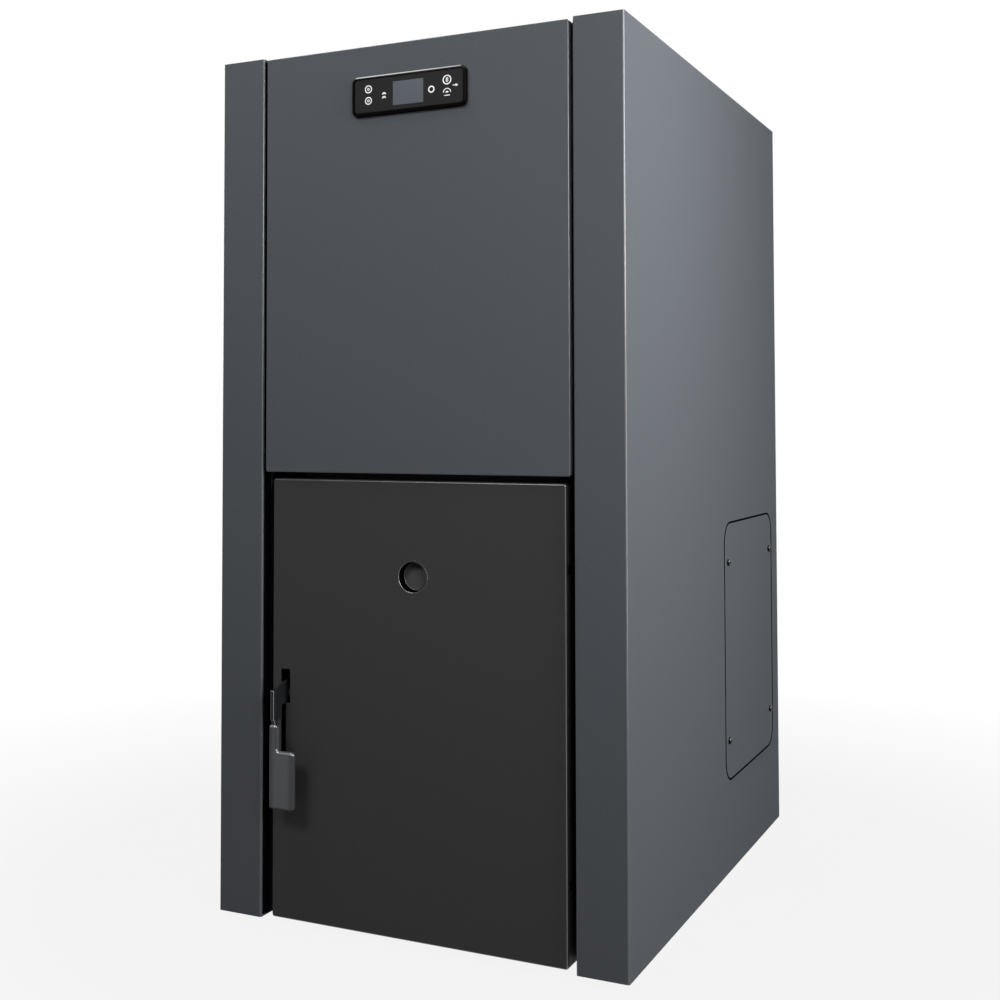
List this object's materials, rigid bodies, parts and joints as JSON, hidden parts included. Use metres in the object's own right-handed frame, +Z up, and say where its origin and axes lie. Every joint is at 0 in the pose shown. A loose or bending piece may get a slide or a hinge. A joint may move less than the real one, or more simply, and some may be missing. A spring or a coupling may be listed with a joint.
{
  "type": "pellet boiler",
  "caption": "Floor-standing pellet boiler: dark folded casing with a recessed black fire door, side latch, display strip, rear hopper with feed screw, burner and flue stub.",
  "frame": {"origin": "on the floor under the middle of the casing", "axes": "+Z up, the fire door faces -Y, +X to the right of a person facing the door"},
  "size_m": [0.604, 0.85, 1.219],
  "materials": {
    "casing_coat": "fine matt powder coat",
    "door_coat": "matt black powder coat",
    "galvanised_sheet": "zinc coated sheet",
    "boiler_steel": "black heat-proof paint",
    "stainless_steel": "brushed",
    "zinc_steel": "bright zinc plate",
    "black_steel": "black zinc plate",
    "cast_iron": "raw casting",
    "cast_aluminium": "sand cast",
    "motor_paint": "satin enamel",
    "brass": "turned",
    "fire_board": "pressed vermiculite",
    "mineral_board": "fibrous",
    "rope_seal": "braided glass rope",
    "seal_rubber": "sponge rubber",
    "black_plastic": "fine moulded grain",
    "grip_plastic": "satin moulded",
    "keypad_film": "satin film",
    "screen_glass": "clear window",
    "circuit_board": "lacquered"
  },
  "bodies": {
    "boiler": {"side_panel_left": "casing_coat", "side_panel_right": "casing_coat", "service_cover": "casing_coat", "upper_front_panel": "casing_coat", "top_panel": "casing_coat", "rear_panel": "casing_coat", "base_frame": "galvanised_sheet", "front_cross_rails": "galvanised_sheet", "hopper": "galvanised_sheet", "hopper_funnel": "galvanised_sheet", "ash_pan": "galvanised_sheet", "boiler_front_plate": "boiler_steel", "firebox": "boiler_steel", "water_jacket": "boiler_steel", "smoke_tubes": "boiler_steel", "cleaning_hatch": "boiler_steel", "door_hinge_arms": "boiler_steel", "smoke_duct": "boiler_steel", "auger_tube": "stainless_steel", "burner_air_box": "stainless_steel", "flue_pipe": "stainless_steel", "air_inlet_pipe": "stainless_steel", "igniter": "stainless_steel", "levelling_feet": "zinc_steel", "lid_hinge_pins": "zinc_steel", "lid_hinge_blocks": "zinc_steel", "latch_striker": "zinc_steel", "supply_pipe": "zinc_steel", "return_pipe": "zinc_steel", "service_cover_screws": "black_steel", "rear_panel_screws": "black_steel", "burner_pot": "cast_iron", "auger_gearbox": "cast_aluminium", "fan_housing": "cast_aluminium", "auger_motor": "motor_paint", "fan_motor": "motor_paint", "circulation_pump": "motor_paint", "drain_cock": "brass", "hatch_knobs": "black_plastic", "display_bezel": "black_plastic", "power_switch_frame": "black_plastic", "cable_gland": "black_plastic", "keypad_overlay": "keypad_film", "display_window": "screen_glass", "display_board": "circuit_board"},
    "door": {"door_skin": "door_coat", "door_plate": "boiler_steel", "door_insulation": "mineral_board", "door_fire_board": "fire_board", "door_seal": "rope_seal", "sight_port_cup": "door_coat", "door_hinge_pins": "zinc_steel", "latch_pivot_pin": "zinc_steel"},
    "latch": {"latch_lever": "boiler_steel", "latch_grip": "grip_plastic"},
    "lid": {"hopper_lid": "casing_coat", "lid_seal": "seal_rubber"},
    "auger": {"auger_screw": "stainless_steel"},
    "fan": {"fan_impeller": "stainless_steel"},
    "mains_switch": {"power_switch_rocker": "black_plastic"}
  },
  "joints": [
    {"name": "door_hinge", "type": "hinge", "parent": "boiler", "child": "door", "pos_m": [0.209, -0.379, 0.3115], "axis": [0, 0, 1], "range_deg": [0, 110]},
    {"name": "latch_pivot", "type": "hinge", "parent": "door", "child": "latch", "pos_m": [-0.2, -0.377, 0.316], "axis": [-1, 0, 0], "range_deg": [0, 40]},
    {"name": "lid_hinge", "type": "hinge", "parent": "boiler", "child": "lid", "pos_m": [0, 0.38, 1.208], "axis": [-1, 0, 0], "range_deg": [0, 95]},
    {"name": "auger_turn", "type": "hinge", "parent": "boiler", "child": "auger", "pos_m": [0, 0.34, 0.52], "axis": [0, 1, 0], "continuous": true},
    {"name": "fan_turn", "type": "hinge", "parent": "boiler", "child": "fan", "pos_m": [-0.23, 0.11, 0.22], "axis": [1, 0, 0], "continuous": true},
    {"name": "switch_rock", "type": "hinge", "parent": "boiler", "child": "mains_switch", "pos_m": [0.23, 0.397, 1.05], "axis": [-1, 0, 0], "range_deg": [0, 20]}
  ]
}
